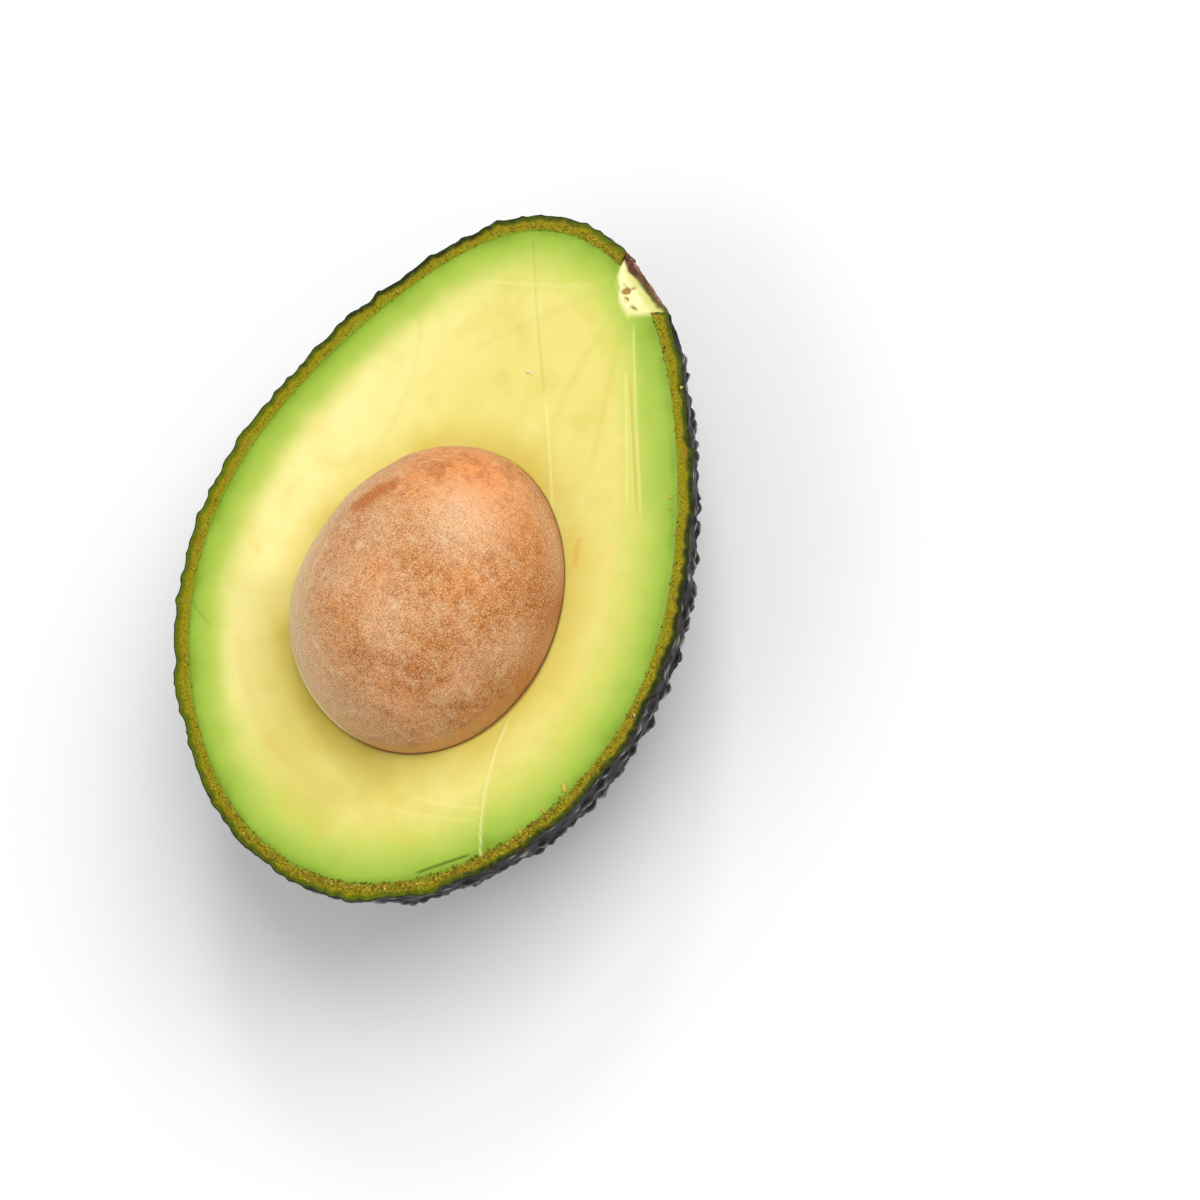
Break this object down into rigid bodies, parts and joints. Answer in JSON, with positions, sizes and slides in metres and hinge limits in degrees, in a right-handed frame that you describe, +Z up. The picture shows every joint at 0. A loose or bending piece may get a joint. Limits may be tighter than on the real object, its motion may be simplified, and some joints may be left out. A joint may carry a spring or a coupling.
{
  "type": "halved avocado with its stone",
  "caption": "Half of a ripe avocado, cut lengthwise: pebbled dark skin, green to yellow flesh and a brown stone standing out of the cut face, lying on its back.",
  "frame": {"origin": "centre of the small flat spot on the back of the skin, on which the half rests", "axes": "+Z up, out of the cut face; +Y towards the stem end; +X to the right of someone who looks down on the cut face with the stem end away from them. The cut face leans 6 degrees down towards the stem end, as the half lies by its own weight"},
  "size_m": [0.076, 0.1057, 0.0559],
  "materials": {
    "skin": "satin",
    "flesh": "satin",
    "stone": "matte",
    "stem_button": "matte"
  },
  "bodies": {
    "root": {"skin": "skin", "flesh": "flesh", "stone": "stone", "stem_button": "stem_button"}
  },
  "joints": []
}
